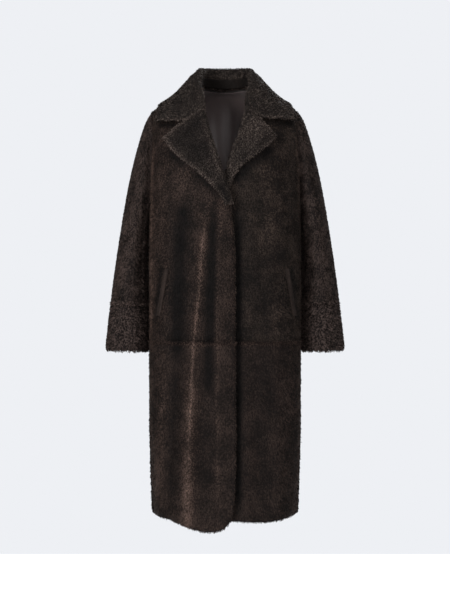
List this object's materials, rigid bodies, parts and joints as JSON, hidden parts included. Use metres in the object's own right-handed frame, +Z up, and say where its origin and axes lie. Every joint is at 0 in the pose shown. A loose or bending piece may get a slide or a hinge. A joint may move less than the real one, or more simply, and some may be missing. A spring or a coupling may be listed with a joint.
{
  "type": "shearling coat",
  "caption": "Long dark brown shearling coat, filled out as worn, with notched lapels, a wide rolled collar and dropped sleeves.",
  "frame": {"origin": "middle of the neck base, where the wearer's neck and shoulders hold the coat", "axes": "+Z up along the body, the front faces -Y, +X is the wearer's left"},
  "size_m": [0.634, 0.3088, 1.219],
  "materials": {
    "panel_fur": "dense short curly dark brown pile with a soft sheen",
    "lower_fur": "smoother short dark brown pile below the hip seam",
    "sleeve_fur": "dense short curly dark brown pile",
    "cuff_fur": "curlier dark brown pile",
    "collar_fur": "fine curly dark brown pile",
    "stand_fur": "very dark band inside the neck",
    "lining_satin": "dark brown satin",
    "welt_leather": "dark suede edge of the pocket mouth"
  },
  "bodies": {
    "root": {"back_right_upper": "panel_fur", "back_left_upper": "panel_fur", "back_lower": "lower_fur", "front_right_upper": "panel_fur", "front_left_upper": "panel_fur", "front_right_lower": "lower_fur", "front_left_lower": "lower_fur", "sleeve_right_top": "sleeve_fur", "sleeve_right_under": "sleeve_fur", "sleeve_left_top": "sleeve_fur", "sleeve_left_under": "sleeve_fur", "cuff_right": "cuff_fur", "cuff_left": "cuff_fur", "collar": "collar_fur", "collar_stand": "stand_fur", "lapel_right": "collar_fur", "lapel_left": "collar_fur", "lining_back": "lining_satin", "pocket_welt_right": "welt_leather", "pocket_welt_left": "welt_leather"}
  },
  "joints": []
}
